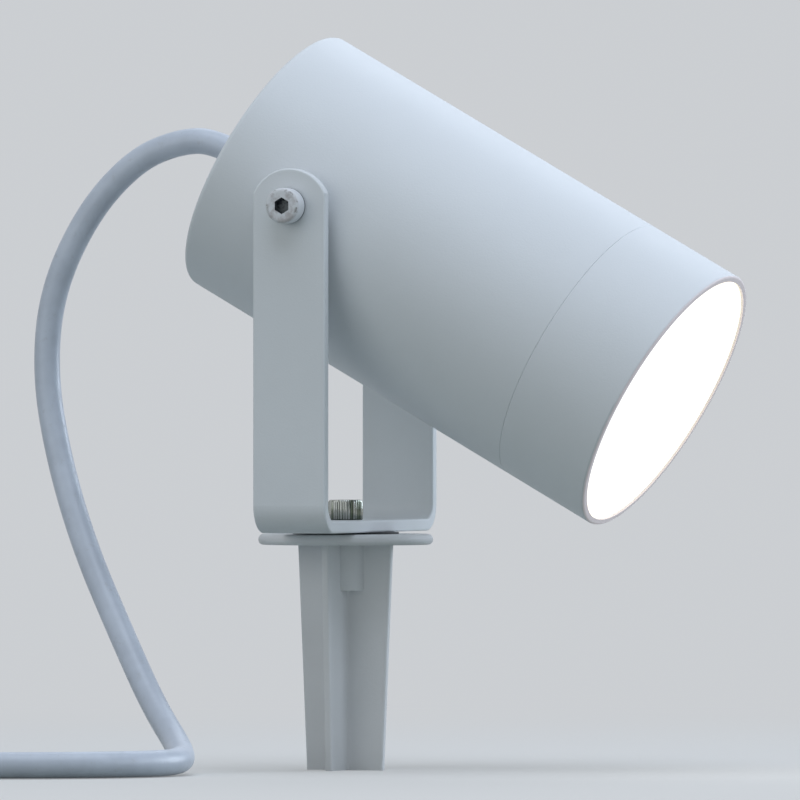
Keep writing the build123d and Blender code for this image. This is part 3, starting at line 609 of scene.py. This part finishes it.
def turnedBolt(name, values):
    # A profile of radius and height turned about the upright axis. On the head's side the radius dips by
    # depth x (1 - |sin(teeth x angle / 2)|), and in the socket it is flat / cos(angle from the flat's middle)
    head, high, flat = values["head"], values["headHeight"], values["socket"]
    profile = np.array([  # radius, height, share of the teeth, share of the hexagon
        (0.0015, -values["reach"], 0, 0), (values["shank"], 0.0005 - values["reach"], 0, 0),
        (values["shank"], 0, 0, 0), (head - 0.0003, 0, 0, 0), (head - 0.00012, 0.0001, 0.3, 0),
        (head, 0.0003, 1, 0), (head, high - 0.00055, 1, 0), (head - 0.00008, high - 0.00035, 0.6, 0),
        (head - 0.00022, high - 0.0001, 0, 0), (head - 0.0005, high, 0, 0), (flat + 0.0001, high, 0, 1),
        (flat, high - 0.0001, 0, 1), (flat, high - values["socketDepth"], 0, 1),
        (0.0004, high - values["socketDepth"] - 0.0003, 0, 0),
    ])
    angle = np.linspace(0, 2 * math.pi, values["teeth"] * values["stepsPerTooth"], endpoint=False)
    groove = values["toothDepth"] * (1 - np.abs(np.sin(angle * values["teeth"] / 2)))
    hexagon = 1 / np.cos((angle + math.pi / 6) % (math.pi / 3) - math.pi / 6)
    radius, height, toothed, sixSided = profile.T[:, :, None]
    radius = (radius - toothed * groove) * (1 + sixSided * (hexagon - 1))
    height = np.broadcast_to(height + values["foot"], radius.shape)
    place = np.stack((radius * np.cos(angle), radius * np.sin(angle), height), axis=-1)
    piece = gridMesh(name, place, capEnds=True)
    piece.data.set_sharp_from_angle(angle=math.radians(30))
    return piece


boltPiece = turnedBolt("swivelBolt", bolt)
boltPiece.data.materials.append(stainlessMaterial(steel, bolt))
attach(boltPiece, "stake")
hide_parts("swivel_bolt")
print("bolt turned")


leadPoints = np.vstack((
    [lead["exit"]],
    [Vector(lead["exit"]) - nose * lead["straight"]],
    lead["route"],
    coilPoints(coil),
    lead["tail"],
))
leadLine = routeLine(leadPoints, "leadRoute")
leadLength = float(np.linalg.norm(np.diff(leadLine, axis=0), axis=1).sum())
leadPiece = tubeAlong("leadSheath", leadLine, lead["diameter"] / 2, lead["sides"])
print("lead laid:", round(leadLength, 3), "m")

sheath = {
    "color": (0.62, 0.67, 0.76), "shade": (0.53, 0.575, 0.655), "scuff": (0.49, 0.52, 0.57),
    "roughness": 0.36, "scuffRoughness": 0.5, "cloudScale": 90.0, "fineScale": 1600.0, "scuffScale": 420.0,
    "bump": 0.00001,
}


def sheathMaterial(values):
    # Soft grey sheath with wide clouding and a few scuffs that are duller than the rest
    material, nodes, links, shader, place = startMaterial("leadSheath")
    cloud = addRamp(nodes, links, addNoise(nodes, links, place, values["cloudScale"], 3.0, 0.6), 0.3, 0.7)
    fine = addNoise(nodes, links, place, values["fineScale"], 3.0, 0.6)
    scuff = addNoise(nodes, links, place, values["scuffScale"], 4.0, 0.7)
    scuff = addRamp(nodes, links, scuff, 0.56, 0.72, 0.0, 0.6)
    base = addMix(nodes, links, cloud, values["color"], values["shade"])
    links.new(addMix(nodes, links, scuff, base, values["scuff"]), shader.inputs["Base Color"])
    rough = addRamp(nodes, links, scuff, 0.0, 0.6, values["roughness"], values["scuffRoughness"])
    links.new(rough, shader.inputs["Roughness"])
    addBump(nodes, links, shader, fine, values["bump"])
    return material


leadPiece.data.materials.append(sheathMaterial(sheath))
dress("lead_entry", leadPiece.data.materials[0])
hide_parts("lead", "lead_coil", "lead_tail")
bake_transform(leadPiece)
print("lead set")


# Floor and light
studio = {
    "backdrop": (0.60, 0.62, 0.645),
    "floorColor": (0.76, 0.745, 0.72),
    "floorBounce": (0.24, 0.27, 0.25),
    "floorRoughness": 0.85,
    "floorGloss": 0.1,
    "floorRings": (0.0005, 0.2, 0.6, 1.5, 6.0, 60.0),
    "nearRadius": 0.10,
    "farRadius": 0.55,
    "nearBackdrop": 0.3,
    "world": (0.92, 0.97, 1.0),
    "worldStrength": 0.27,
    "aim": (0.02, 0, 0.09),
    "lights": [
        {"name": "topLight", "place": (0.25, -0.35, 1.5), "size": 1.6, "power": 12.6, "color": (0.77, 0.865, 1.0)},
        {"name": "topBackLight", "place": (-0.2, 1.2, 1.4), "size": 1.2, "power": 4.5, "color": (0.77, 0.865, 1.0)},
        {"name": "rightLight", "place": (1.6, 0.1, 0.5), "size": 0.9, "power": 4.8, "color": (0.77, 0.865, 1.0)},
        {"name": "backLight", "place": (1.1, 1.2, 0.5), "size": 0.9, "power": 10.8, "color": (0.77, 0.865, 1.0)},
        {"name": "frontLight", "place": (-0.9, -1.6, 0.5), "size": 1.8, "power": 6.9, "color": (0.95, 0.99, 1.0)},
    ],
}


def seenDirectly(nodes, links):
    # 1 for what the camera sees, also in gloss or through glass, and 0 for light on its way to the lamp
    path = nodes.new("ShaderNodeLightPath")
    seen = addMath(nodes, links, "ADD", path.outputs["Is Camera Ray"], path.outputs["Is Glossy Ray"], clamp=True)
    return addMath(nodes, links, "ADD", seen, path.outputs["Is Transmission Ray"], clamp=True)


def makeFloor(values):
    # A wide disc; near the lamp it takes shadow, and far away it is the plain backdrop's colour
    around = np.linspace(0, 2 * math.pi, 96, endpoint=False)
    rings = np.array(values["floorRings"])[:, None]
    grid = np.stack((rings * np.cos(around), rings * np.sin(around), 0 * rings * around), axis=-1)
    floor = gridMesh("floor", grid)
    material, nodes, links, shader, place = startMaterial("floorPale")
    seen = seenDirectly(nodes, links)
    color = addMix(nodes, links, seen, values["floorBounce"], values["floorColor"])
    links.new(color, shader.inputs["Base Color"])
    shader.inputs["Roughness"].default_value = values["floorRoughness"]
    shader.inputs["Specular IOR Level"].default_value = values["floorGloss"]
    reach = nodes.new("ShaderNodeVectorMath")
    reach.operation = "LENGTH"
    links.new(place, reach.inputs[0])
    far = addRamp(
        nodes, links, reach.outputs["Value"], values["nearRadius"], values["farRadius"], values["nearBackdrop"], 1.0,
    )
    farSeen = addMath(nodes, links, "MULTIPLY", far, seen)
    plain = nodes.new("ShaderNodeEmission")
    plain.inputs["Color"].default_value = values["backdrop"] + (1,)
    blendNode = nodes.new("ShaderNodeMixShader")
    links.new(farSeen, blendNode.inputs[0])
    links.new(shader.outputs[0], blendNode.inputs[1])
    links.new(plain.outputs[0], blendNode.inputs[2])
    links.new(blendNode.outputs[0], nodes["Material Output"].inputs["Surface"])
    floor.data.materials.append(material)


def makeWorld(values):
    # Soft light from all round, and the plain backdrop where the camera looks past the floor
    world = bpy.data.worlds.new("studioWorld")
    bpy.context.scene.world = world
    world.use_nodes = True
    nodes, links = world.node_tree.nodes, world.node_tree.links
    soft = nodes["Background"]
    soft.inputs["Color"].default_value = values["world"] + (1,)
    soft.inputs["Strength"].default_value = values["worldStrength"]
    plain = nodes.new("ShaderNodeBackground")
    plain.inputs["Color"].default_value = values["backdrop"] + (1,)
    mixed = nodes.new("ShaderNodeMixShader")
    links.new(seenDirectly(nodes, links), mixed.inputs[0])
    links.new(soft.outputs[0], mixed.inputs[1])
    links.new(plain.outputs[0], mixed.inputs[2])
    links.new(mixed.outputs[0], nodes["World Output"].inputs["Surface"])


def makeLights(values):
    # Round soft lamps, all turned to the middle of the object
    aim = Vector(values["aim"])
    for entry in values["lights"]:
        data = bpy.data.lights.new(entry["name"], "AREA")
        data.shape = "DISK"
        data.size = entry["size"]
        data.energy = entry["power"]
        data.color = entry["color"]
        light = bpy.data.objects.new(entry["name"], data)
        bpy.context.scene.collection.objects.link(light)
        light.location = entry["place"]
        light.rotation_euler = (aim - Vector(entry["place"])).to_track_quat("-Z", "Y").to_euler()
        light.visible_camera = False


makeFloor(studio)
makeWorld(studio)
makeLights(studio)
bpy.context.scene.view_settings.view_transform = "Standard"
print("floor and light set")
